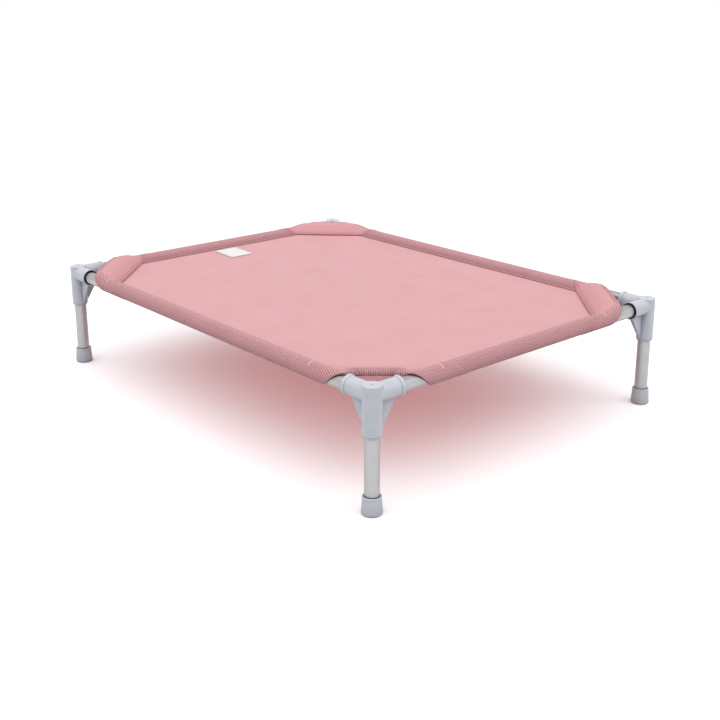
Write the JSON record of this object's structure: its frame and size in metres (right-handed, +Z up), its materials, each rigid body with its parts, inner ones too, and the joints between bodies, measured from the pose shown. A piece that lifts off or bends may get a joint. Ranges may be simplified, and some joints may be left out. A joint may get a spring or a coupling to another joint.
{
  "type": "raised dog bed",
  "caption": "Raised pet bed: a tight pink mesh sling sewn round a tube frame, with moulded grey corner connectors, short tube legs and tapered foot caps.",
  "frame": {"origin": "on the floor, at the bottom centre of the bounding box, midway between the four legs", "axes": "+X along the long side, +Y along the short side from front to rear, +Z up"},
  "size_m": [0.9126, 0.6926, 0.2017],
  "materials": {
    "pale_grey_plastic": "satin moulded",
    "satin_aluminium": "satin anodised",
    "grey_rubber": "matt moulded",
    "pink_mesh_cloth": "coated mesh weave",
    "white_label_cloth": "smooth woven"
  },
  "bodies": {
    "root": {"corner_connector_front_left": "pale_grey_plastic", "corner_connector_front_right": "pale_grey_plastic", "corner_connector_rear_right": "pale_grey_plastic", "corner_connector_rear_left": "pale_grey_plastic", "rail_front": "satin_aluminium", "rail_right": "satin_aluminium", "rail_rear": "satin_aluminium", "rail_left": "satin_aluminium", "leg_front_left": "satin_aluminium", "leg_front_right": "satin_aluminium", "leg_rear_right": "satin_aluminium", "leg_rear_left": "satin_aluminium", "foot_cap_front_left": "grey_rubber", "foot_cap_front_right": "grey_rubber", "foot_cap_rear_right": "grey_rubber", "foot_cap_rear_left": "grey_rubber", "sling_panel": "pink_mesh_cloth", "sleeve_front": "pink_mesh_cloth", "sleeve_right": "pink_mesh_cloth", "sleeve_rear": "pink_mesh_cloth", "sleeve_left": "pink_mesh_cloth", "corner_hem_front_left": "pink_mesh_cloth", "corner_hem_front_right": "pink_mesh_cloth", "corner_hem_rear_right": "pink_mesh_cloth", "corner_hem_rear_left": "pink_mesh_cloth", "blank_label": "white_label_cloth"}
  },
  "joints": []
}
